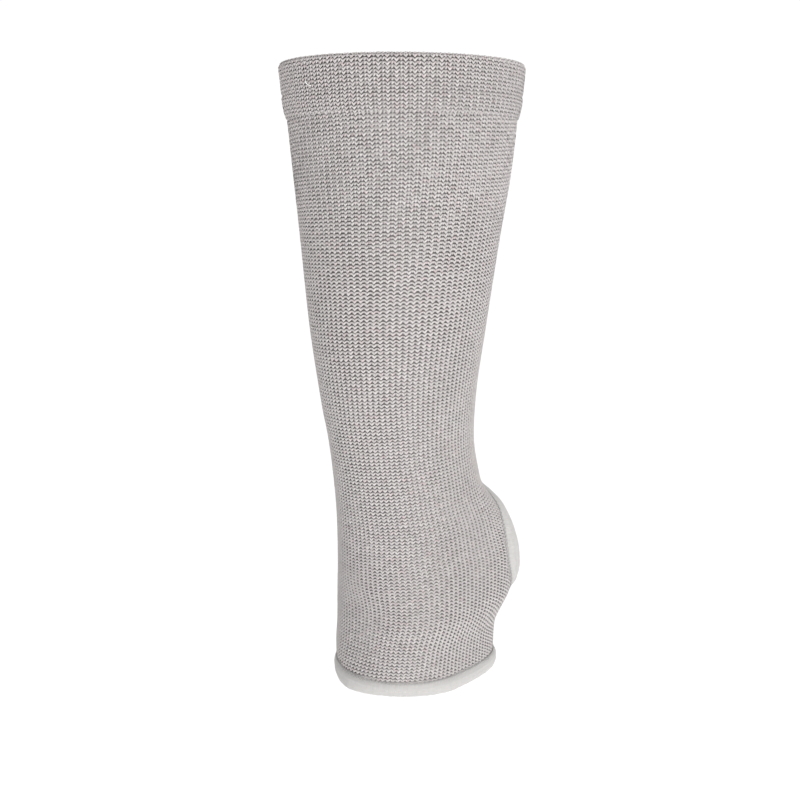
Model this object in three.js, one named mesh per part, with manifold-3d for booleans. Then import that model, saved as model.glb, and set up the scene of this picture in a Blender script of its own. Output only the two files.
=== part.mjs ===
import * as THREE from "three";
import { mergeVertices } from "three/addons/utils/BufferGeometryUtils.js";
import Module from "manifold-3d";

const wasm = await Module();
wasm.setup();

// Sizes in millimetres. +Z runs up the leg, -Y is the front of the shin and +Y the heel.
// The origin is the middle of the narrowest ankle section.
const legHeight = 165.5;
const footDrop = 115;
const calfWidth = 101;
const calfDepth = 107;
const wall = 1.4;
const clearance = 0.3;
const heelClearance = 0.65;
const cuffHeight = 21.5;
const cuffLayer = 1.0;
const hemBand = 10;
const hemGroove = 0.45;
const tapeThickness = 1.0;
const footTapeWidth = 5.5;
const heelTapeWidth = 4.6;
const heelLip = 3.0;
const heelFlare = 1.3;
const heelHoleHeight = 58;
const heelHoleWidth = 66;
const heelHoleDrop = 0.5 * footDrop;
const heelSag = -0.01;
const heelRadius = 49;
const cuffSwell = 0.15;
const tapeSwell = 0.25;
const footRimTilt = 2.9;

// Facets around the tube, up the foot part and up the leg part, and round the heel opening.
const around = 56;
const upFoot = 16;
const upLeg = 12;
const roundHeel = 52;

// Cross-sections of the outer face, from the foot rim to the top of the calf.
// at: height above the ankle, as a share of legHeight above it and of footDrop below it
// half: half width as a share of calfWidth
// front, back, middle: distances from the leg axis along Y, as shares of calfDepth
// nose, square: how square the front and the back half are, where 2 is an ellipse and less is pointed
const SECTIONS = [
  { at: -1.0, half: 0.328, front: -0.332, back: 0.436, middle: 0.0, nose: 1.62, square: 3.2 },
  { at: -0.83, half: 0.328, front: -0.275, back: 0.459, middle: 0.065, nose: 2.55, square: 2.8 },
  { at: -0.69, half: 0.342, front: -0.262, back: 0.548, middle: 0.075, nose: 2.5, square: 3.3 },
  { at: -0.53, half: 0.333, front: -0.292, back: 0.579, middle: 0.075, nose: 2.1, square: 3.6 },
  { at: -0.35, half: 0.326, front: -0.298, back: 0.488, middle: 0.056, nose: 2.05, square: 3.0 },
  { at: -0.17, half: 0.316, front: -0.318, back: 0.358, middle: 0.024, nose: 2.0, square: 2.3 },
  { at: 0.0, half: 0.309, front: -0.348, back: 0.342, middle: 0.0, nose: 2.0, square: 2.0 },
  { at: 0.12, half: 0.331, front: -0.38, back: 0.336, middle: -0.018, nose: 2.0, square: 2.0 },
  { at: 0.335, half: 0.382, front: -0.42, back: 0.37, middle: -0.023, nose: 2.0, square: 2.0 },
  { at: 0.56, half: 0.431, front: -0.441, back: 0.414, middle: -0.014, nose: 2.0, square: 2.0 },
  { at: 0.76, half: 0.47, front: -0.464, back: 0.464, middle: 0.0, nose: 2.0, square: 2.0 },
  { at: 1.0, half: 0.502, front: -0.5, back: 0.5, middle: 0.0, nose: 2.0, square: 2.0 },
];

// Slope of a smooth curve through table points, flat where the table turns.
function slopes(xs, ys) {
  const steps = xs.slice(1).map((x, i) => x - xs[i]);
  const rises = steps.map((h, i) => (ys[i + 1] - ys[i]) / h);
  return xs.map((x, i) => {
    if (i === 0) return rises[0];
    if (i === xs.length - 1) return rises[i - 1];
    if (rises[i - 1] * rises[i] <= 0) return 0;
    const before = 2 * steps[i] + steps[i - 1];
    const after = steps[i] + 2 * steps[i - 1];
    return (before + after) / (before / rises[i - 1] + after / rises[i]);
  });
}

// A smooth column of the section table, straight past both ends.
function column(name) {
  const xs = SECTIONS.map((row) => row.at);
  const ys = SECTIONS.map((row) => row[name]);
  const ms = slopes(xs, ys);
  const last = xs.length - 1;
  return (x) => {
    if (x < xs[0]) return ys[0] + ms[0] * (x - xs[0]);
    if (x > xs[last]) return ys[last] + ms[last] * (x - xs[last]);
    let i = 0;
    while (i < last - 1 && x > xs[i + 1]) i += 1;
    const h = xs[i + 1] - xs[i];
    const t = (x - xs[i]) / h;
    const rise = (3 - 2 * t) * t * t;
    return (
      ys[i] + (ys[i + 1] - ys[i]) * rise + h * t * (1 - t) * (ms[i] * (1 - t) - ms[i + 1] * t)
    );
  };
}

const halfAt = column("half");
const frontAt = column("front");
const backAt = column("back");
const middleAt = column("middle");
const noseAt = column("nose");
const squareAt = column("square");

// A point of the outer face. The angle runs from +X towards +Y, and level is in millimetres.
// Below the ankle the sections tip down at the back, fully so at the foot rim.
function face(angle, level) {
  const at = level > 0 ? level / legHeight : level / footDrop;
  const half = halfAt(at) * calfWidth;
  const middle = middleAt(at) * calfDepth;
  const back = Math.sin(angle) > 0;
  const reach = back ? backAt(at) * calfDepth - middle : middle - frontAt(at) * calfDepth;
  const power = back ? squareAt(at) : noseAt(at);
  const c = Math.abs(Math.cos(angle)) / half;
  const s = Math.abs(Math.sin(angle)) / reach;
  const radius = (c ** power + s ** power) ** (-1 / power);
  const x = radius * Math.cos(angle);
  const y = radius * Math.sin(angle);
  const tipped = Math.max(0, -at - 0.2) / 0.8;
  const tilt = Math.tan((footRimTilt * Math.PI) / 180) * tipped;
  return new THREE.Vector3(x, middle + y, level - tilt * y);
}

// The outward direction of the outer face, from two short steps along it.
function outward(angle, level) {
  const turn = face(angle + 0.004, level).sub(face(angle - 0.004, level));
  const rise = face(angle, level + 0.4).sub(face(angle, level - 0.4));
  return turn.cross(rise).normalize();
}

// A point at a distance out from the outer face, negative towards the leg.
function shell(angle, level, out) {
  return face(angle, level).addScaledVector(outward(angle, level), out);
}

// A closed solid from rings of equal length. Each ring joins the next, and the last joins the first.
function ringSolid(rings) {
  const count = rings[0].length;
  const index = [];
  rings.forEach((ring, i) => {
    const next = (i + 1) % rings.length;
    for (let j = 0; j < count; j += 1) {
      const k = (j + 1) % count;
      const a = i * count + j;
      const b = i * count + k;
      const c = next * count + j;
      const d = next * count + k;
      index.push(a, b, d, a, d, c);
    }
  });
  const geometry = new THREE.BufferGeometry();
  geometry.setAttribute(
    "position",
    new THREE.Float32BufferAttribute(rings.flat().flatMap((p) => [p.x, p.y, p.z]), 3),
  );
  geometry.setIndex(index);
  return geometry;
}

// One level ring of the tube at a distance out from its outer face.
function levelRing(level, out) {
  return Array.from({ length: around }, (_, j) => shell((2 * Math.PI * j) / around, level, out));
}

// A tape's outline around a raw edge, as pairs of a distance into the cloth and a distance out from
// its outer face. It starts at the tip of the outer leg, goes round the fold and ends inside. The fold
// stands past the raw edge by a lip, and rolls outwards by a flare.
function foldOutline(width, gap, lip, flare) {
  const inner = -wall - gap;
  const thick = tapeThickness;
  const middle = flare - wall / 2;
  const round = wall / 2 + gap + thick - 0.3 * flare;
  const fold = -lip - gap;
  return [
    [width, gap],
    [width, gap + 0.75 * thick],
    [width - 0.5 * thick, gap + thick],
    [0.55 * width, gap + thick + tapeSwell],
    [0.4 * thick - lip, middle + round],
    [fold - 0.75 * thick, middle + 0.62 * round],
    [fold - thick, middle],
    [fold - 0.75 * thick, middle - 0.62 * round],
    [0.4 * thick - lip, middle - round],
    [0.6 * thick, inner - thick],
    [width, inner - thick],
    [width, inner],
    [-gap, inner],
    [-gap, gap],
  ];
}

// A closed solid of a piece's outline carried along a closed edge.
function edging(outline, place, stations) {
  return ringSolid(
    outline.map(([into, out]) =>
      Array.from({ length: stations }, (_, j) => place((2 * Math.PI * j) / stations, into, out)),
    ),
  );
}

function manifoldOf(geometry) {
  const plain = geometry.clone();
  plain.deleteAttribute("normal");
  plain.deleteAttribute("uv");
  const merged = mergeVertices(plain, 1e-4);
  return new wasm.Manifold(
    new wasm.Mesh({
      numProp: 3,
      vertProperties: new Float32Array(merged.attributes.position.array),
      triVerts: new Uint32Array(merged.index.array),
    }),
  );
}

function geometryOf(solid) {
  const mesh = solid.getMesh();
  const geometry = new THREE.BufferGeometry();
  geometry.setAttribute("position", new THREE.BufferAttribute(mesh.vertProperties, 3));
  geometry.setIndex(new THREE.BufferAttribute(mesh.triVerts, 1));
  return geometry;
}

// The knitted tube: rings up the outside, over the top edge and down the inside.
const levels = [
  ...Array.from({ length: upFoot }, (_, i) => (-footDrop * (upFoot - i)) / upFoot),
  ...Array.from({ length: upLeg + 1 }, (_, i) => (legHeight * i) / upLeg),
];
const tube = ringSolid([
  ...levels.map((level) => levelRing(level, 0)),
  ...levels.map((level) => levelRing(level, -wall)).reverse(),
]);

// The heel opening's edge as an angle and a level of the tube, and a distance into the cloth from it.
// It is an upright oval on the back, with its widest part near its middle.
function heelEdge(turn, into) {
  const rise = Math.sin(turn);
  const widest = heelHoleDrop + heelSag * heelHoleHeight;
  const high = heelHoleHeight / 2 + (rise > 0 ? heelSag : -heelSag) * heelHoleHeight;
  const across = Math.cos(turn) * (heelHoleWidth / 2 + into);
  return [Math.PI / 2 + across / heelRadius, -widest + rise * (high + into)];
}

// A plug through the cloth inside the opening's edge, square to the cloth all round.
function plugRing(share, out) {
  return Array.from({ length: roundHeel }, (_, j) => {
    const [angle, level] = heelEdge((2 * Math.PI * j) / roundHeel, 0);
    const across = Math.PI / 2 + (angle - Math.PI / 2) * share;
    return shell(across, -heelHoleDrop + (level + heelHoleDrop) * share, out);
  });
}

// A closed solid from a chain of rings, with each end closed by a fan to a middle point.
function lidded(rings, firstMiddle, lastMiddle) {
  const count = rings[0].length;
  const index = [];
  const first = rings.length * count;
  const last = first + 1;
  const end = (rings.length - 1) * count;
  for (let j = 0; j < count; j += 1) {
    const k = (j + 1) % count;
    for (let i = 0; i < end; i += count) {
      index.push(i + j, i + k, i + count + k, i + j, i + count + k, i + count + j);
    }
    index.push(first, k, j, last, end + j, end + k);
  }
  const points = [...rings.flat(), firstMiddle, lastMiddle];
  const geometry = new THREE.BufferGeometry();
  geometry.setAttribute(
    "position",
    new THREE.Float32BufferAttribute(points.flatMap((p) => [p.x, p.y, p.z]), 3),
  );
  geometry.setIndex(index);
  return geometry;
}

const plugReach = 3 * wall;
const plug = lidded(
  [
    plugRing(0.35, -wall - plugReach),
    plugRing(0.7, -wall - plugReach),
    plugRing(1, -wall - plugReach),
    plugRing(1, plugReach),
    plugRing(0.7, plugReach),
    plugRing(0.35, plugReach),
  ],
  shell(Math.PI / 2, -heelHoleDrop, -wall - plugReach),
  shell(Math.PI / 2, -heelHoleDrop, plugReach),
);
const openTube = manifoldOf(tube).subtract(manifoldOf(plug));

// The folded cuff: a double layer over the tube's top edge, with a groove above its hem band.
function cuffOutline() {
  const outer = clearance + cuffLayer;
  const inner = -wall - clearance;
  const fold = -clearance;
  const groove = cuffHeight - hemBand;
  return [
    [cuffHeight, clearance],
    [cuffHeight, clearance + 0.6 * cuffLayer],
    [cuffHeight - 0.7 * cuffLayer, outer],
    [cuffHeight - 0.5 * hemBand, outer + cuffSwell],
    [groove + hemGroove, outer],
    [groove, outer - hemGroove],
    [groove - hemGroove, outer],
    [0.5 * groove, outer + cuffSwell],
    [1.2 * cuffLayer, outer],
    [fold - 0.4 * cuffLayer, clearance + 0.7 * cuffLayer],
    [fold - 0.9 * cuffLayer, clearance],
    [fold - cuffLayer, -wall / 2],
    [fold - 0.9 * cuffLayer, inner],
    [fold - 0.4 * cuffLayer, inner - 0.7 * cuffLayer],
    [1.2 * cuffLayer, inner - cuffLayer],
    [cuffHeight, inner - cuffLayer],
    [cuffHeight, inner],
    [fold, inner],
    [fold, clearance],
  ];
}
const cuff = edging(cuffOutline(), (turn, into, out) => shell(turn, legHeight - into, out), around);

const footTape = edging(
  foldOutline(footTapeWidth, clearance, 0, 0),
  (turn, into, out) => shell(-turn, -footDrop + into, out),
  around,
);

const heelTape = edging(
  foldOutline(heelTapeWidth, heelClearance, heelLip, heelFlare),
  (turn, into, out) => shell(...heelEdge(turn, into), out),
  roundHeel,
);

function piece(name, geometry, colour) {
  const material = new THREE.MeshStandardMaterial({ color: colour, roughness: 0.9 });
  const mesh = new THREE.Mesh(geometry, material);
  mesh.name = name;
  return mesh;
}

const group = new THREE.Group();
group.add(piece("knit_sleeve", geometryOf(openTube), 0xb9b3b0));
group.add(piece("folded_cuff", cuff, 0xb4aeab));
group.add(piece("heel_binding", heelTape, 0xdcdad6));
group.add(piece("foot_binding", footTape, 0xdedcd8));

export default group;
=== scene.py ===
import math

import bpy
import numpy as np
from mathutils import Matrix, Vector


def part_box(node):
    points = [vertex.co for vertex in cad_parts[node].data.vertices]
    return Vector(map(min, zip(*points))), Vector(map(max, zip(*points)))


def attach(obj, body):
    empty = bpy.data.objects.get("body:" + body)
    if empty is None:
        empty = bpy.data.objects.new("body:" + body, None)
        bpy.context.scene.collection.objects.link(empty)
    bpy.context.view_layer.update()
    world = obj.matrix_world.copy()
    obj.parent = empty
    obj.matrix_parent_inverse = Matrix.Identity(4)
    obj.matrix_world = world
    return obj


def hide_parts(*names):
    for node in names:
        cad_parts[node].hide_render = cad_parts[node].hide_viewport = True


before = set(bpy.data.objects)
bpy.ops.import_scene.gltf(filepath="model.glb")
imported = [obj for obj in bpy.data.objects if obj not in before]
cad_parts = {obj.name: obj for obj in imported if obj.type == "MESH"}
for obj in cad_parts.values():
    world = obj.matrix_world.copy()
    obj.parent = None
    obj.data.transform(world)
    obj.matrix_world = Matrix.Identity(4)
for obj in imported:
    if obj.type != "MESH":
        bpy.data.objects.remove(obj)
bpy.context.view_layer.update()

# Sizes in metres. +Z runs up the leg, -Y is the front and +Y the heel. The large sizes come from the
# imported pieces, through two shares of the section table, and the small ones repeat the part's own.
MM = 0.001
TOP_HALF = 0.502
RIM_BACK = 0.436
tube_low, tube_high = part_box("knit_sleeve")
cuff_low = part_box("folded_cuff")[0]
CALF_WIDTH = (tube_high.x - tube_low.x) / (2 * TOP_HALF)
CALF_DEPTH = -2 * tube_low.y
LEG_HEIGHT = tube_high.z
RIM_TILT = math.tan(math.radians(2.9))
FOOT_DROP = -tube_low.z - RIM_TILT * RIM_BACK * CALF_DEPTH
WALL = 1.4 * MM
GAP = 0.3 * MM
CUFF_LAYER = 1.0 * MM
CUFF_HEIGHT = LEG_HEIGHT - cuff_low.z
HEM_BAND = 10 * MM
TAPE = 1.0 * MM
FOOT_TAPE_WIDTH = 5.5 * MM
HEEL_TAPE_WIDTH = 4.6 * MM
HEEL_GAP = 0.65 * MM
HEEL_LIP = 3.0 * MM
HEEL_FLARE = 1.3 * MM
HEEL_HEIGHT = 58 * MM
HEEL_WIDTH = 66 * MM
HEEL_DROP = 0.5 * FOOT_DROP
HEEL_SAG = -0.01
HEEL_RADIUS = 49 * MM

# The knit: ribs round the tube, the rise of one row, the rows that one turn of a yarn climbs, half the
# thickness of a yarn, and how deep its middle line lies under the tube's outer face.
RIBS = 94
ROW = 1.58 * MM
CUFF_ROW = 1.42 * MM
FEEDS = 8
YARN = 0.56 * MM
YARN_DEPTH = 0.5 * MM

# A yarn's section has two corners outwards, one to each side, and one inwards, as shares of YARN.
CORNER_SIDE = 0.9
CORNER_UP = 0.42
CORNER_DOWN = 0.85

# The length along a yarn or a tape that one unit of its UV map stands for.
UV_LENGTH = 0.01

# Cross-sections of the tube, from the foot rim to the top of the calf.
# at: height, as a share of LEG_HEIGHT above the ankle and of FOOT_DROP below it
# half: half width as a share of CALF_WIDTH
# front, back, middle: distances from the leg axis along Y, as shares of CALF_DEPTH
# nose, square: how square the front and the back half are, where 2 is an ellipse and less is pointed
SECTIONS = np.array(
    [
        # at, half, front, back, middle, nose, square
        (-1.0, 0.328, -0.332, RIM_BACK, 0.0, 1.62, 3.2),
        (-0.83, 0.328, -0.275, 0.459, 0.065, 2.55, 2.8),
        (-0.69, 0.342, -0.262, 0.548, 0.075, 2.5, 3.3),
        (-0.53, 0.333, -0.292, 0.579, 0.075, 2.1, 3.6),
        (-0.35, 0.326, -0.298, 0.488, 0.056, 2.05, 3.0),
        (-0.17, 0.316, -0.318, 0.358, 0.024, 2.0, 2.3),
        (0.0, 0.309, -0.348, 0.342, 0.0, 2.0, 2.0),
        (0.12, 0.331, -0.38, 0.336, -0.018, 2.0, 2.0),
        (0.335, 0.382, -0.42, 0.37, -0.023, 2.0, 2.0),
        (0.56, 0.431, -0.441, 0.414, -0.014, 2.0, 2.0),
        (0.76, 0.47, -0.464, 0.464, 0.0, 2.0, 2.0),
        (1.0, TOP_HALF, -0.5, 0.5, 0.0, 2.0, 2.0),
    ]
)


def column(k, x):
    """A smooth column of the section table: cubic pieces whose slope at a row is the harmonic mean of
    the slopes beside it, or flat where the column turns, and straight past both ends."""
    xs, ys = SECTIONS[:, 0], SECTIONS[:, k]
    h = np.diff(xs)
    rise = np.diff(ys) / h
    before, after = 2 * h[1:] + h[:-1], h[1:] + 2 * h[:-1]
    turns = rise[:-1] * rise[1:] <= 0
    safe = np.where(rise == 0, 1, rise)
    inner = np.where(turns, 0, (before + after) / (before / safe[:-1] + after / safe[1:]))
    m = np.concatenate([[rise[0]], inner, [rise[-1]]])
    at = np.clip(x, xs[0], xs[-1])
    i = np.clip(np.searchsorted(xs, at) - 1, 0, len(h) - 1)
    t = (at - xs[i]) / h[i]
    bend = h[i] * t * (1 - t) * (m[i] * (1 - t) - m[i + 1] * t)
    y = ys[i] + (ys[i + 1] - ys[i]) * (3 - 2 * t) * t * t + bend
    return y + np.where(x < xs[0], m[0], m[-1]) * (x - at)


def face(angle, level):
    """A point of the tube's outer face: in each section the radius at an angle is
    ((|cos|/half)^n + (|sin|/reach)^n)^(-1/n), with the table's squareness as n in front and behind,
    and below the ankle the section tips down at the back."""
    at = np.where(level > 0, level / LEG_HEIGHT, level / FOOT_DROP)
    half, middle = column(1, at) * CALF_WIDTH, column(4, at) * CALF_DEPTH
    back = np.sin(angle) > 0
    reach = np.where(back, column(3, at) * CALF_DEPTH - middle, middle - column(2, at) * CALF_DEPTH)
    n = np.where(back, column(6, at), column(5, at))
    c, s = np.abs(np.cos(angle)) / half, np.abs(np.sin(angle)) / reach
    radius = (c**n + s**n) ** (-1 / n)
    x, y = radius * np.cos(angle), radius * np.sin(angle)
    tilt = RIM_TILT * np.maximum(0, -at - 0.2) / 0.8
    return np.stack([x, middle + y, level - tilt * y], -1)


def unit(v):
    """A vector over its own length."""
    return v / np.maximum(np.linalg.norm(v, axis=-1, keepdims=True), 1e-12)


def shell(angle, level, out):
    """A point at a distance out from the tube's outer face, along its normal."""
    turn = face(angle + 0.004, level) - face(angle - 0.004, level)
    rise = face(angle, level + 0.4 * MM) - face(angle, level - 0.4 * MM)
    return face(angle, level) + unit(np.cross(turn, rise)) * np.asarray(out)[..., None]


def girth_chart(levels, shares):
    """The angle at each share of a section's girth, and each section's girth, at a row of levels. The ribs
    stand equally far apart round the leg. In the foot part they crowd a little at the front and spread
    at the heel, because a sine of the share is taken off, which fades in below the ankle."""
    turn = np.linspace(-math.pi / 2, 1.5 * math.pi, 1441)
    ring = face(turn[None, :] + 0 * levels[:, None], levels[:, None] + 0 * turn[None, :])
    step = np.linalg.norm(np.diff(ring, axis=1), axis=2)
    girth = np.concatenate([np.zeros((len(levels), 1)), np.cumsum(step, axis=1)], axis=1)
    crowd = 0.12 * np.clip((-levels - 20 * MM) / (30 * MM), 0, 1)
    warp = shares - crowd[:, None] * np.sin(2 * math.pi * shares) / (2 * math.pi)
    angles = np.stack([np.interp(w, g / g[-1], turn) for w, g in zip(warp, girth)])
    return angles, girth[:, -1]


# The chart runs past both ends of the tube, and the cuff's girth is read 2 mm under the top edge.
LEVELS = np.linspace(-FOOT_DROP - 6 * MM, LEG_HEIGHT + 6 * MM, 150)
SHARES = np.linspace(0, 1, 505)
ANGLES, GIRTHS = girth_chart(LEVELS, SHARES)
CUFF_GIRTH = float(GIRTHS[-5])


def angle_at(share, level):
    """The angle at a share of the girth from the front, read between the lines of the chart."""
    turns = np.floor(share)
    u = (share - turns) * (len(SHARES) - 1)
    v = np.clip((level - LEVELS[0]) / (LEVELS[1] - LEVELS[0]), 0, len(LEVELS) - 1.001)
    i, j = u.astype(int).clip(0, len(SHARES) - 2), v.astype(int)
    a, b = u - i, v - j
    low = ANGLES[j, i] * (1 - a) + ANGLES[j, i + 1] * a
    high = ANGLES[j + 1, i] * (1 - a) + ANGLES[j + 1, i + 1] * a
    return low * (1 - b) + high * b + 2 * math.pi * turns


def cloth(share, level, out):
    """A point of the cloth at a share of the girth, a level, and a distance out from the outer face."""
    return shell(angle_at(share, level), level, out)


def mesh_piece(name, points, quads, triangles=None, uv=None):
    """A mesh object at the origin from whole arrays of points and faces, with a UV pair per point."""
    faces = [quads] if triangles is None or not len(triangles) else [quads, triangles]
    loops = np.concatenate([f.ravel() for f in faces]).astype(np.int32)
    totals = np.concatenate([np.full(len(f), f.shape[1]) for f in faces])
    starts = np.concatenate([[0], np.cumsum(totals)[:-1]]).astype(np.int32)
    mesh = bpy.data.meshes.new(name)
    mesh.vertices.add(len(points))
    mesh.vertices.foreach_set("co", np.asarray(points, np.float32).ravel())
    mesh.loops.add(len(loops))
    mesh.loops.foreach_set("vertex_index", loops)
    mesh.polygons.add(len(totals))
    mesh.polygons.foreach_set("loop_start", starts)
    mesh.polygons.foreach_set("use_smooth", np.ones(len(totals), bool))
    if uv is not None:
        mesh.uv_layers.new(name="cloth").data.foreach_set("uv", np.asarray(uv, np.float32)[loops].ravel())
    mesh.update(calc_edges=True)
    mesh.validate()
    piece = bpy.data.objects.new(name, mesh)
    bpy.context.scene.collection.objects.link(piece)
    return piece


def wrapped(rings, stations):
    """The quads of a surface whose rings and stations both close on themselves."""
    i, j = np.meshgrid(np.arange(rings), np.arange(stations), indexing="ij")
    k, m = (i + 1) % rings, (j + 1) % stations
    quad = [i * stations + j, i * stations + m, k * stations + m, k * stations + j]
    return np.stack(quad, -1).reshape(-1, 4)


def yarn_piece(name, path, outward, radius, keep, seed):
    """Yarns of three-sided section along the rows of path. Each kept stretch between two stations is a
    short tube round its middle line, two of its edges outwards and one inwards, and an end with no
    neighbour is closed by one triangle. The UV map holds the length along the yarn and its row."""
    rows, count = path.shape[:2]
    along = np.zeros_like(path)
    along[:, 1:-1] = path[:, 2:] - path[:, :-2]
    along[:, 0], along[:, -1] = path[:, 1] - path[:, 0], path[:, -1] - path[:, -2]
    side = unit(np.cross(outward, unit(along)))
    top = unit(np.cross(unit(along), side))
    r = radius[..., None]
    ring = np.stack(
        [
            path + r * (CORNER_SIDE * side + CORNER_UP * top),
            path + r * (-CORNER_SIDE * side + CORNER_UP * top),
            path - CORNER_DOWN * r * top,
        ],
        axis=2,
    )
    used = np.zeros((rows, count), bool)
    used[:, :-1] |= keep
    used[:, 1:] |= keep
    number = np.cumsum(used.ravel()).reshape(rows, count) - 1
    a = 3 * number[:, :-1][keep]
    b = 3 * number[:, 1:][keep]
    turn = [(0, 1), (1, 2), (2, 0)]
    quads = np.concatenate([np.stack([a + i, a + j, b + j, b + i], -1) for i, j in turn])
    before = np.concatenate([np.zeros((rows, 1), bool), keep[:, :-1]], axis=1)
    after = np.concatenate([keep[:, 1:], np.zeros((rows, 1), bool)], axis=1)
    first = 3 * number[:, :-1][keep & ~before]
    last = 3 * number[:, 1:][keep & ~after]
    ends = np.concatenate(
        [np.stack([first, first + 2, first + 1], -1), np.stack([last, last + 1, last + 2], -1)]
    )
    steps = np.linalg.norm(np.diff(path, axis=1), axis=2)
    length = np.concatenate([np.zeros((rows, 1)), np.cumsum(steps, axis=1)], axis=1)
    shift = np.random.default_rng(seed).random((rows, 1)) * 3
    v = np.arange(rows)[:, None] * 7.31 + shift + 0 * length
    u = length[..., None] / UV_LENGTH + np.zeros(3)
    uv = np.stack([u, v[..., None] + np.array([0, 0.3, 0.6])], -1)
    return mesh_piece(name, ring[used].reshape(-1, 3), quads, ends, uv[used].reshape(-1, 2))


# One stitch of a rib, from the valley between two ribs (0) to the rib's middle (0.5): the yarn's height as
# a share of its rise, its thickness and how far it stands out, in wide ribs (an M) and in narrow ones.
STITCH = np.array(
    [
        # along, wide height, thickness, out in mm, narrow height, thickness, out in mm
        (0.0, 0.0, 1.15, 0.09, 0.0, 1.08, 0.03),
        (0.16, 0.58, 0.84, 0.04, 0.5, 1.0, 0.02),
        (0.32, 1.0, 0.58, -0.12, 0.88, 0.86, -0.02),
        (0.41, 0.8, 0.95, -0.04, 0.97, 0.68, -0.06),
        (0.5, 0.52, 1.65, 0.06, 1.0, 0.57, -0.08),
    ]
)

# Where the stations of a yarn lie along one rib, fewer of them in narrow ribs.
SIX = np.array((0.0, 0.2, 0.38, 0.5, 0.62, 0.8))
EIGHT = np.array((0.0, 0.16, 0.32, 0.41, 0.5, 0.59, 0.68, 0.84))

# The width of a narrow rib and how much wider a wide one is, and the same of a stitch's height in rows.
NARROW_RIB = 2.65 * MM
WIDER_BY = 0.55 * MM
NARROW_ARCH = 0.62
HIGHER_BY = 0.24


def stitch(share, girth, row, uneven):
    """How far a yarn stands above its row and out of the cloth at a share of the girth, and half its
    thickness. All three are read from the stitch table by the distance to the nearest valley, pass from
    the narrow to the wide columns as the ribs widen, and vary by a few hundredths with each stitch."""
    along = np.abs(share * RIBS - np.round(share * RIBS))
    wide = np.clip((girth / RIBS - NARROW_RIB) / WIDER_BY, 0, 1)
    shape = [np.interp(along, STITCH[:, 0], STITCH[:, k]) for k in range(1, 7)]
    rise, thick, out = [wide * shape[k] + (1 - wide) * shape[k + 3] for k in range(3)]
    arch = row * (NARROW_ARCH + HIGHER_BY * wide)
    height = arch * rise * (1 + 0.04 * uneven) + 0.02 * MM * uneven
    return height, out * MM, YARN * thick * (1 + 0.05 * uneven)


def heel_reach(share, level, margin):
    """How far a point of the tube lies from the middle of the heel opening, where 1 is the edge of the
    opening's oval widened by a margin: the root of the squares of its distances across and up, each over
    its half axis."""
    across = ((angle_at(share, level) + math.pi / 2) % (2 * math.pi)) - math.pi
    return np.hypot(
        across * HEEL_RADIUS / (HEEL_WIDTH / 2 + margin),
        (level + HEEL_DROP) / (HEEL_HEIGHT / 2 + margin),
    )


# The tube's knit: eight yarns that climb together, each rising eight rows in a turn. Rows wander up and
# down by WANDER, and ribs stray sideways by STRAY, a share of the girth that is 0.12 mm in 2.6 mm ribs.
SLEEVE_TOP = LEG_HEIGHT - CUFF_HEIGHT + 2 * MM
SLEEVE_FOOT = -FOOT_DROP + 2 * MM
TURNS = (SLEEVE_TOP - SLEEVE_FOOT) / (ROW * FEEDS) + 3
CHANCE = np.random.default_rng(11).normal(size=(FEEDS, int(TURNS * RIBS) + RIBS))
WANDER = 0.07 * MM
STRAY = 0.12 / (RIBS * 2.6)


def tube_knit(name, low, high, steps, seed):
    """The tube's yarns between two levels. Each yarn is a helix over the chart of girth shares and levels,
    lifted by its stitches. Rows and ribs wander together by slow sines round and along the tube. A yarn
    is thicker where the rows spread, and left out under the heel tape and past both ends of the tube."""
    first = math.floor((low - SLEEVE_FOOT) / (ROW * FEEDS) - 1)
    last = math.ceil((high - SLEEVE_FOOT) / (ROW * FEEDS) + 0.2)
    along = (np.arange((last - first) * RIBS)[:, None] + steps).ravel()
    share = first + along[None, :] / RIBS + np.zeros((FEEDS, 1))
    base = SLEEVE_FOOT + ROW * (np.arange(FEEDS)[:, None] + FEEDS * share)
    stitch_at = np.clip(np.floor((share + 1) * RIBS + 1e-6), 0, CHANCE.shape[1] - 1).astype(int)
    chance = np.take_along_axis(CHANCE, stitch_at, axis=1)
    height, lift, thick = stitch(share, np.interp(base, LEVELS, GIRTHS), ROW, chance)
    lift = lift - YARN_DEPTH
    turn = 2 * math.pi * share
    wander = WANDER * (np.sin(5 * turn + base / (8 * MM)) + np.sin(11 * turn - base / (5 * MM)))
    strayed = share + STRAY * np.sin(4 * turn - base / (6 * MM))
    path = cloth(strayed, base + height + wander, lift)
    outward = unit(cloth(strayed, base + height + wander, lift + MM) - path)
    good = (base > SLEEVE_FOOT) & (base < SLEEVE_TOP) & (heel_reach(share, base, 1.6 * MM) > 1)
    keep = good[:, :-1] & good[:, 1:] & (base[:, :-1] >= low) & (base[:, :-1] < high)
    spread = np.linalg.norm(cloth(share, base + ROW, lift) - cloth(share, base, lift), axis=-1) / ROW
    thick = thick * np.clip(spread, 1, 1.35)
    return yarn_piece(name, path, outward, thick, keep, seed)


# The yarns in four pieces, from the foot up, parted at three levels.
ANKLE_FROM = -50 * MM
SHIN_FROM = 16 * MM
CALF_FROM = 80 * MM
knit = [
    tube_knit("foot_knit", SLEEVE_FOOT, ANKLE_FROM, SIX, 20),
    tube_knit("ankle_knit", ANKLE_FROM, SHIN_FROM, SIX, 21),
    tube_knit("shin_knit", SHIN_FROM, CALF_FROM, EIGHT, 22),
    tube_knit("calf_knit", CALF_FROM, SLEEVE_TOP, EIGHT, 23),
]


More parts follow.
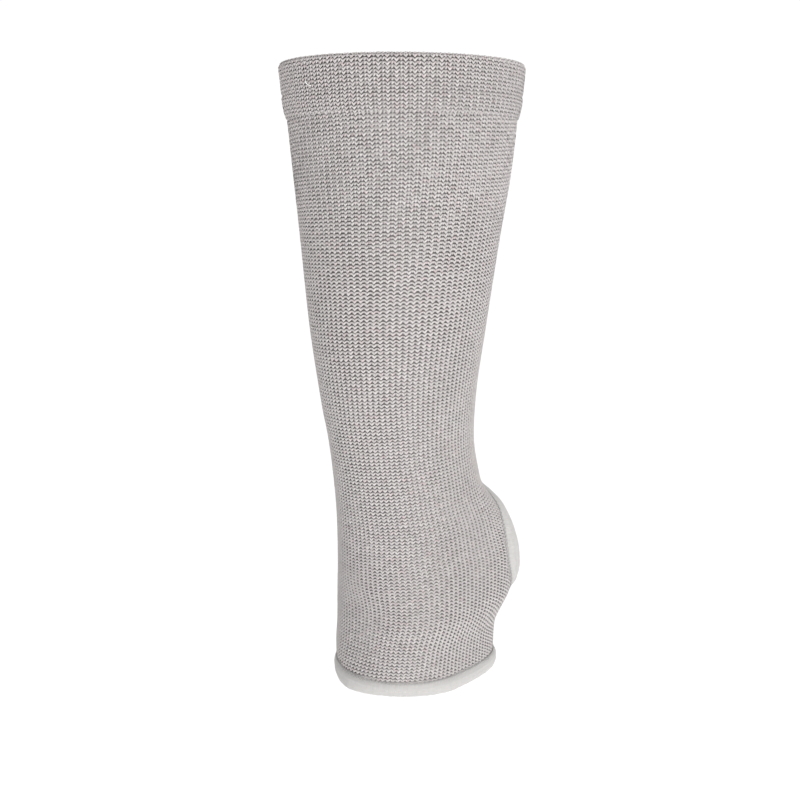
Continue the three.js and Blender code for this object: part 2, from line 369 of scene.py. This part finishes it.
def cuff_section():
    """The cuff's line in section, from the hem up the outer layer, over the top and down inside: each
    point's distance down from the top edge, its distance out from the tube's outer face, and the length
    of the line up to it. The outer layer bulges by a cosine over the hem band, sinks by a narrow bell
    curve at the groove above it, and closes onto the tube at the hem. The top is half an ellipse."""
    bend = 1.2 * MM
    slope = 8 * MM
    outside = np.linspace(CUFF_HEIGHT - 0.5 * MM, bend, 60)
    inside = np.linspace(bend, CUFF_HEIGHT - MM, 40)
    swing = np.linspace(0, math.pi, 11)[1:-1]
    groove = CUFF_HEIGHT - HEM_BAND
    over_band = np.clip((outside - groove - HEM_BAND / 2) / (HEM_BAND / 2), -1, 1)
    band = 0.12 * MM * np.cos(over_band * math.pi / 2)
    dent = 0.38 * MM * np.exp(-(((outside - groove) / (0.9 * MM)) ** 2))
    taper = 1.0 * MM * np.clip((outside - CUFF_HEIGHT + slope) / slope, 0, 1) ** 1.5
    into = np.concatenate([outside, bend - (bend + GAP + 0.5 * CUFF_LAYER) * np.sin(swing), inside])
    out = np.concatenate(
        [
            GAP + 0.5 * CUFF_LAYER + band - dent - taper,
            -WALL / 2 + (WALL + 2 * GAP + CUFF_LAYER) / 2 * np.cos(swing),
            0 * inside - WALL - GAP - 0.5 * CUFF_LAYER,
        ]
    )
    length = np.concatenate([[0], np.cumsum(np.hypot(np.diff(into), np.diff(out)))])
    return into, out, length


FOLD_INTO, FOLD_OUT, FOLD_LENGTH = cuff_section()
FOLD_END = float(FOLD_LENGTH[-1])
FOLD_TOP = FOLD_LENGTH[np.argmin(FOLD_INTO)]


def fold_line(along):
    """The distances into the cuff and out from the tube at a length along the fold."""
    return np.stack([np.interp(along, FOLD_LENGTH, FOLD_INTO), np.interp(along, FOLD_LENGTH, FOLD_OUT)], -1)


def on_fold(share, along, lift):
    """A point of the cuff at a share of the girth, a length along its fold, and a distance off the fold's
    line, away from the tube."""
    ahead = 0.3 * MM
    along = np.clip(along, 0, FOLD_END - 0.31 * MM)
    line = fold_line(along)
    lean = unit(fold_line(along + ahead) - line)
    return cloth(share, LEG_HEIGHT - line[..., 0] - lift * lean[..., 1], line[..., 1] - lift * lean[..., 0])


def cuff_yarns():
    """The cuff's yarns: closed rounds at even steps along the fold, lifted by their stitches. Near the top
    a bell curve of the length thickens them and raises each rib by a cosine, so the edge is knobbly."""
    rows = int(FOLD_END / CUFF_ROW)
    pitch = FOLD_END / rows
    phase = (FOLD_TOP - 0.5 * MM) / pitch % 1
    share = np.append((np.arange(RIBS)[:, None] + EIGHT).ravel(), RIBS)[None, :] / RIBS
    share = share + np.zeros((rows, 1))
    count = share.shape[1]
    chance = np.random.default_rng(12).normal(size=(rows, RIBS + 1)).repeat(len(EIGHT), axis=1)[:, :count]
    chance[:, -1] = chance[:, 0]
    height, lift, thick = stitch(share, np.full_like(share, CUFF_GIRTH), CUFF_ROW, chance)
    along = (np.arange(rows)[:, None] + phase) * pitch + height
    ridge = np.exp(-(((along - FOLD_TOP) / (1.6 * MM)) ** 2))
    lift = lift + 0.15 * MM * ridge * (1 + np.cos(2 * math.pi * share * RIBS))
    path = on_fold(share, along, lift)
    outward = unit(on_fold(share, along, lift + MM) - path)
    whole = np.ones((rows, count - 1), bool)
    return yarn_piece("cuff_knit", path, outward, thick * (0.95 + 0.3 * ridge), whole, 30)


def loose_fibre():
    """One short loose fibre on the cuff. It runs round and down by two powers of the way along it, and
    stands off the cloth by a sine."""
    way = np.linspace(0, 1, 9)[None, :]
    path = cloth(
        0.996 + 3.0 * MM / CUFF_GIRTH * way**1.5,
        LEG_HEIGHT - 7.4 * MM - 2.6 * MM * way**0.7,
        GAP + CUFF_LAYER + 0.3 * MM + 0.5 * MM * np.sin(math.pi * way),
    )
    outward = unit(path * np.array([1.0, 1.0, 0.0]))
    radius = 0.24 * MM * (1 - 0.4 * way)
    return yarn_piece("loose_fibre", path, outward, radius, np.ones((1, way.size - 1), bool), 31)


cuff_knit = cuff_yarns()
fibre = loose_fibre()


def heel_place(turn, into, out):
    """A point of the heel tape at a turn round the opening: on the opening's oval, widened by a distance
    into the cloth, and a distance out from the outer face."""
    rise = np.sin(turn)
    widest = HEEL_DROP + HEEL_SAG * HEEL_HEIGHT
    high = HEEL_HEIGHT / 2 + np.where(rise > 0, HEEL_SAG, -HEEL_SAG) * HEEL_HEIGHT
    across = np.cos(turn) * (HEEL_WIDTH / 2 + into)
    return shell(math.pi / 2 + across / HEEL_RADIUS, -widest + rise * (high + into), out)


def foot_place(turn, into, out):
    """A point of the foot tape at a turn round the lower rim."""
    return shell(-turn, -FOOT_DROP + into, out)


# The rows of a tape's outline in its outer leg and in its fold.
LEG_ROWS = 12
FOLD_ROWS = 7


def tape_outline(width, gap, lip, flare):
    """The closed outline of a folded tape, as rows of a distance into the cloth and a distance out from
    its outer face: an outer leg that rises by a sine from the knit, with a sewn groove, a round fold that
    stands past the raw edge by a lip and rolls outwards by a flare, and a plain inner leg. The first row
    and the last lie in the knit, under the tape's edge."""
    tuck = 0.4 * MM
    middle, half = flare - WALL / 2, WALL / 2 + gap + TAPE - 0.3 * flare
    leg = np.linspace(1, 0, LEG_ROWS)
    into = leg * (width + lip) - lip + tuck * (1 - leg)
    rise = (1 - leg) ** 1.5 * (middle + half - gap - TAPE)
    groove = 0.4 * MM * np.exp(-(((leg - 0.42) / 0.06) ** 2))
    swell = 0.2 * MM * np.sin(math.pi * leg) ** 0.7
    ease = np.sin(np.clip((1 - leg) / 0.55, 0, 1) * math.pi / 2) ** 1.2
    out = ease * (gap + TAPE + rise + swell - groove) - 0.3 * MM * (1 - ease)
    outer = np.stack([into, out], -1)
    outer[0] = width + 0.9 * MM, -0.8 * MM
    swing = np.linspace(0.12, 0.88, FOLD_ROWS) * math.pi
    fold = np.stack([tuck - lip - (gap + TAPE + tuck) * np.sin(swing), middle + half * np.cos(swing)], -1)
    inner = -WALL - gap
    rest = np.array(
        [
            (tuck - lip, middle - half),
            (0.6 * MM, inner - TAPE),
            (0.97 * width, inner - TAPE),
            (width, inner - 0.6 * TAPE),
            (width, inner),
            (0.5 * width, inner),
            (-gap, inner),
            (-gap, gap),
            (0.5 * width, gap),
            (width + 0.7 * MM, -0.92 * MM),
        ]
    )
    return np.concatenate([outer, fold, rest])


def ribbed_tape(name, place, outline, width, ribs, seed):
    """A folded tape along a closed edge, and that edge's length. The outline stands at even steps along
    the edge, four to a rib, with its outer skin raised and sunk by a cosine of the length, which makes
    fine ribs across the tape, and by a little chance for each rib."""
    dense = np.linspace(0, 2 * math.pi, 2001)
    line = place(dense, 0 * dense + width / 2, 0 * dense)
    run = np.concatenate([[0], np.cumsum(np.linalg.norm(np.diff(line, axis=0), axis=1))])
    stations = ribs * 4
    along = np.arange(stations) / stations * run[-1]
    turn = np.interp(along, run, dense)[None, :]
    skin = np.zeros(len(outline))
    skin[1 : LEG_ROWS + FOLD_ROWS] = 1
    wave = np.cos(2 * math.pi * np.arange(stations) / 4)[None, :]
    chance = np.random.default_rng(seed).normal(size=(1, ribs)).repeat(4, axis=1)
    away = unit(outline - np.array([0.4 * width, -WALL / 2]))
    push = skin[:, None] * (0.1 * MM * wave + 0.05 * MM * chance)
    into = outline[:, :1] + away[:, :1] * push
    out = outline[:, 1:] + away[:, 1:] * push
    points = place(turn + 0 * into, into, out)
    u = along[None, :] / UV_LENGTH + 0 * into
    v = np.arange(len(outline))[:, None] * 0.1 + 0 * into
    quads = wrapped(len(outline), stations)
    piece = mesh_piece(name, points.reshape(-1, 3), quads, None, np.stack([u, v], -1).reshape(-1, 2))
    return piece, float(run[-1])


def seam_thread(name, place, width, run, seed):
    """The thread that holds a tape down: a zigzag over the tape's edge, with a short tube for each stroke,
    lying higher on the tape than on the knit. The zigzag is a cosine of the turn, read at its peaks,
    valleys and middles."""
    count = 4 * int(run / (1.9 * MM))
    step = np.arange(count + 1)[None, :]
    zigzag = np.cos(math.pi * step / 2)
    turn = 2 * math.pi * step / count
    into = width + (0.8 * zigzag - 0.1) * MM
    out = (0.14 - 0.2 * zigzag) * MM
    path = place(turn, into, out)
    outward = unit(place(turn, into, out + MM) - path)
    thick = np.full(path.shape[:2], 0.3 * MM)
    return yarn_piece(name, path, outward, thick, np.ones((1, count), bool), seed)


foot_outline = tape_outline(FOOT_TAPE_WIDTH, GAP, 0, 0)
foot_tape, foot_run = ribbed_tape("foot_tape", foot_place, foot_outline, FOOT_TAPE_WIDTH, 260, 41)
heel_outline = tape_outline(HEEL_TAPE_WIDTH, HEEL_GAP, HEEL_LIP, HEEL_FLARE)
heel_tape, heel_run = ribbed_tape("heel_tape", heel_place, heel_outline, HEEL_TAPE_WIDTH, 215, 42)
foot_seam = seam_thread("foot_seam", foot_place, FOOT_TAPE_WIDTH, foot_run, 43)
heel_seam = seam_thread("heel_seam", heel_place, HEEL_TAPE_WIDTH, heel_run, 44)


def closed_wall(name, shares, levels, keep, outer_out, inner_out):
    """A thin closed wall of cloth, and which of its faces aren't on its outside: the same grid of girth
    shares and levels at two distances from the outer face, joined along every edge where the kept cells
    end. Such an edge is one that no cell runs along the other way."""
    s, z = np.meshgrid(shares, levels, indexing="ij")
    n, m = s.shape
    points = np.concatenate(
        [cloth(s, z, outer_out + 0 * z).reshape(-1, 3), cloth(s, z, inner_out + 0 * z).reshape(-1, 3)]
    )
    i, j = np.meshgrid(np.arange(n), np.arange(m - 1), indexing="ij")
    k = (i + 1) % n
    cell = np.stack([i * m + j, k * m + j, k * m + j + 1, i * m + j + 1], -1)
    outside = cell[keep]
    inside = outside[:, ::-1] + n * m
    edges = np.concatenate([outside[:, [a, (a + 1) % 4]] for a in range(4)])
    forth = edges[:, 0].astype(np.int64) * n * m + edges[:, 1]
    back = edges[:, 1].astype(np.int64) * n * m + edges[:, 0]
    rim = edges[~np.isin(forth, back)]
    sides = np.stack([rim[:, 1], rim[:, 0], rim[:, 0] + n * m, rim[:, 1] + n * m], -1)
    faces = np.concatenate([outside, inside, sides])
    used = np.unique(faces)
    number = np.zeros(2 * n * m, int)
    number[used] = np.arange(len(used))
    uv = np.stack([s.ravel() * RIBS, z.ravel() / ROW], -1)
    piece = mesh_piece(name, points[used], number[faces], None, np.concatenate([uv, uv])[used])
    hidden = np.concatenate([np.zeros(len(outside), int), np.ones(len(faces) - len(outside), int)])
    return piece, hidden


def tube_shade_backing():
    """The backing behind the knit's yarns, its outer face dark as painted shade seen between them: a closed
    wall whose cells are left out in the heel opening."""
    shares = np.arange(RIBS) / RIBS
    levels = np.linspace(-FOOT_DROP + 0.6 * MM, LEG_HEIGHT - 0.6 * MM, 90)
    share, level = np.meshgrid(shares + 0.5 / RIBS, (levels[1:] + levels[:-1]) / 2, indexing="ij")
    keep = heel_reach(share, level, 1.3 * MM) > 1
    return closed_wall("knit_shade_backing", shares, levels, keep, -0.95 * MM, -WALL)


def folded_shade_backing():
    """The backing of the cuff under its yarns, dark as painted shade seen between them: a thin band along
    the fold, out at one depth under the fold's line and back at another."""
    lengths = np.linspace(0.2 * MM, FOLD_END - 0.5 * MM, 44)
    along = np.concatenate([lengths, lengths[::-1]])[:, None] + np.zeros(RIBS)
    depth = np.repeat([0.42 * MM, 0.68 * MM], len(lengths))[:, None] + 0 * along
    share = np.arange(RIBS)[None, :] / RIBS + 0 * along
    points = on_fold(share, along, -depth)
    uv = np.stack([share * RIBS, along / CUFF_ROW], -1)
    return mesh_piece("cuff_shade_backing", points.reshape(-1, 3), wrapped(*along.shape), None, uv.reshape(-1, 2))


shade_backing, shade_backing_hidden = tube_shade_backing()
cuff_shade_backing = folded_shade_backing()


def fabric(name, colour, rough, sheen):
    """A plain cloth shader with its even values on its own sockets."""
    material = bpy.data.materials.new(name)
    material.use_nodes = True
    tree = material.node_tree
    shader = tree.nodes["Principled BSDF"]
    shader.inputs["Base Color"].default_value = (*colour, 1)
    shader.inputs["Roughness"].default_value = rough
    shader.inputs["Sheen Weight"].default_value = sheen
    shader.inputs["Sheen Roughness"].default_value = 0.5
    shader.inputs["Specular IOR Level"].default_value = 0.25
    return material, tree, shader


def link(tree, a, b):
    """Joins an output socket to an input socket."""
    tree.links.new(a, b)


def uv_vector(tree, scale):
    """The piece's own UV, stretched along and across the yarn."""
    uv = tree.nodes.new("ShaderNodeUVMap")
    uv.uv_map = "cloth"
    mapping = tree.nodes.new("ShaderNodeMapping")
    mapping.inputs["Scale"].default_value = scale
    link(tree, uv.outputs["UV"], mapping.inputs["Vector"])
    return mapping.outputs["Vector"]


def noise(tree, vector, scale, detail):
    """A noise texture's value at a scale."""
    node = tree.nodes.new("ShaderNodeTexNoise")
    node.inputs["Scale"].default_value = scale
    node.inputs["Detail"].default_value = detail
    link(tree, vector, node.inputs["Vector"])
    return node.outputs["Fac"]


def ramp(tree, value, stops):
    """Colours between stops of a value."""
    node = tree.nodes.new("ShaderNodeValToRGB")
    while len(node.color_ramp.elements) < len(stops):
        node.color_ramp.elements.new(0.5)
    for element, (at, colour) in zip(node.color_ramp.elements, stops):
        element.position = at
        element.color = (*colour, 1)
    link(tree, value, node.inputs["Fac"])
    return node.outputs["Color"]


def mix(tree, a, b, share, kind="MIX"):
    """One colour laid over another."""
    node = tree.nodes.new("ShaderNodeMix")
    node.data_type = "RGBA"
    node.blend_type = kind
    node.inputs["Factor"].default_value = share
    link(tree, a, node.inputs["A"])
    link(tree, b, node.inputs["B"])
    return node.outputs["Result"]


def bump(tree, shader, value, distance, strength):
    """Fine relief on the shader's normal."""
    node = tree.nodes.new("ShaderNodeBump")
    node.inputs["Distance"].default_value = distance
    node.inputs["Strength"].default_value = strength
    link(tree, value, node.inputs["Height"])
    link(tree, node.outputs["Normal"], shader.inputs["Normal"])


def heather_yarn():
    """Heathered yarn: long light and darker stretches along it, with pale pink and green flecks."""
    material, tree, shader = fabric("heather_yarn", (0.6, 0.57, 0.56), 0.9, 0.25)
    along = uv_vector(tree, (1.0, 1.0, 1.0))
    shade = ramp(
        tree,
        noise(tree, along, 3.4, 3.0),
        [(0.3, (0.368, 0.345, 0.340)), (0.7, (0.533, 0.505, 0.499))],
    )
    fleck = ramp(
        tree,
        noise(tree, along, 2.6, 1.0),
        [(0.28, (0.92, 0.96, 0.91)), (0.40, (1, 1, 1)), (0.58, (1, 1, 1)), (0.70, (1.0, 0.88, 0.90))],
    )
    link(tree, mix(tree, shade, fleck, 1.0, "MULTIPLY"), shader.inputs["Base Color"])
    bump(tree, shader, noise(tree, uv_vector(tree, (3.0, 14.0, 1.0)), 9.0, 2.0), 0.12 * MM, 0.6)
    return material


def woven_ground(name, dark, light):
    """A cloth of crossing bands, one for each rib and each row, between a dark and a light colour."""
    material, tree, shader = fabric(name, light, 0.95, 0.1)
    cell = uv_vector(tree, (1.0, 1.0, 1.0))
    bands = []
    for way in "XY":
        wave = tree.nodes.new("ShaderNodeTexWave")
        wave.wave_type = "BANDS"
        wave.bands_direction = way
        wave.inputs["Scale"].default_value = 0.3142
        wave.inputs["Distortion"].default_value = 0.4
        link(tree, cell, wave.inputs["Vector"])
        bands.append(wave.outputs["Color"])
    weave = mix(tree, *bands, 0.5)
    link(tree, ramp(tree, weave, [(0.2, dark), (0.8, light)]), shader.inputs["Base Color"])
    bump(tree, shader, weave, 0.3 * MM, 0.7)
    return material


def mottled(name, plain, rough, sheen, scale, detail, dark, light):
    """A cloth that passes between a dark and a light colour by a noise on its UV map, with its node tree
    and shader."""
    material, tree, shader = fabric(name, plain, rough, sheen)
    value = noise(tree, uv_vector(tree, (1.0, 1.0, 1.0)), scale, detail)
    link(tree, ramp(tree, value, [(0.3, dark), (0.7, light)]), shader.inputs["Base Color"])
    return material, tree, shader


def elastic_tape():
    """The white elastic of the tapes and their threads, with a fine grain."""
    material, tree, shader = mottled(
        "elastic_tape", (0.72, 0.71, 0.69), 0.85, 0.2, 6.0, 3.0, (0.37, 0.36, 0.352), (0.41, 0.4, 0.391)
    )
    bump(tree, shader, noise(tree, uv_vector(tree, (4.0, 6.0, 1.0)), 8.0, 2.0), 0.1 * MM, 0.5)
    return material


yarn = heather_yarn()
# The backing's outer colour is nearly black: painted shade, the dark seen in the gaps between the yarns.
painted_shade_cloth = woven_ground("knit_shade_backing", (0.085, 0.078, 0.075), (0.16, 0.149, 0.145))
inside_cloth = woven_ground("knit_inside", (0.3, 0.282, 0.277), (0.52, 0.493, 0.486))
tape_cloth = elastic_tape()
pale_fibre = mottled(
    "pale_fibre", (0.8, 0.79, 0.77), 0.8, 0.2, 5.0, 2.0, (0.74, 0.73, 0.71), (0.86, 0.85, 0.83)
)[0]

bindings = [foot_tape, heel_tape, foot_seam, heel_seam]
for piece in [*knit, cuff_knit]:
    piece.data.materials.append(yarn)
for piece in (shade_backing, cuff_shade_backing):
    piece.data.materials.append(painted_shade_cloth)
shade_backing.data.materials.append(inside_cloth)
shade_backing.data.polygons.foreach_set("material_index", shade_backing_hidden.astype(np.int32))
for piece in bindings:
    piece.data.materials.append(tape_cloth)
fibre.data.materials.append(pale_fibre)

for piece in [*knit, cuff_knit, fibre, shade_backing, cuff_shade_backing, *bindings]:
    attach(piece, "root")
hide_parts("knit_sleeve")
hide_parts("folded_cuff")
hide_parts("heel_binding")
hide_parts("foot_binding")

# The floor, far enough below the sleeve to stay plain.
FLOOR_DROP = 0.30
FLOOR_HALF = 40
floor_z = -FOOT_DROP - FLOOR_DROP
corners = [(x * FLOOR_HALF, y * FLOOR_HALF, floor_z) for x, y in ((-1, -1), (1, -1), (1, 1), (-1, 1))]
mesh = bpy.data.meshes.new("floor")
mesh.from_pydata(corners, [], [(0, 1, 2, 3)])
floor = bpy.data.objects.new("floor", mesh)
bpy.context.scene.collection.objects.link(floor)
floor.data.materials.append(fabric("pale_floor", (1.0, 1.0, 1.0), 0.9, 0.0)[0])

# Even light from all round, and one soft light from the front and right.
world = bpy.data.worlds.new("studio")
world.use_nodes = True
background = world.node_tree.nodes["Background"]
background.inputs["Color"].default_value = (1, 1, 1, 1)
background.inputs["Strength"].default_value = 1.03
bpy.context.scene.world = world


def soft_light(name, place, aim, size, watts):
    """A square soft light at a place, turned to a point."""
    lamp = bpy.data.lights.new(name, "AREA")
    lamp.size = size
    lamp.energy = watts
    light = bpy.data.objects.new(name, lamp)
    bpy.context.scene.collection.objects.link(light)
    light.location = place
    back = np.array(place) - np.array(aim)
    yaw = math.atan2(back[0], -back[1])
    pitch = math.atan2(math.hypot(back[0], back[1]), back[2])
    light.rotation_euler = (pitch, 0, yaw)


soft_light("key", (1.04, -0.52, -0.08), (0, 0, -0.02), 0.9, 12.9)

# The camera: close to the sleeve, a little below its top edge and looking slightly down. Its focal length
# is given in pixels of a square frame.
AZIMUTH = math.radians(44)
DOWN = math.radians(12.7)
DISTANCE = 0.453
HEIGHT = 0.121
SENSOR = 36
FRAME_PIXELS = 800
FOCAL_PIXELS = 998
camera = bpy.data.objects.new("camera", bpy.data.cameras.new("camera"))
bpy.context.scene.collection.objects.link(camera)
camera.location = (DISTANCE * math.sin(AZIMUTH), -DISTANCE * math.cos(AZIMUTH), HEIGHT)
camera.rotation_euler = (math.pi / 2 - DOWN, 0, AZIMUTH)
camera.data.sensor_width = SENSOR
camera.data.lens = SENSOR * FOCAL_PIXELS / FRAME_PIXELS
camera.data.shift_x = -0.0034
camera.data.clip_start = 0.02
bpy.context.scene.camera = camera
bpy.context.scene.view_settings.view_transform = "Standard"
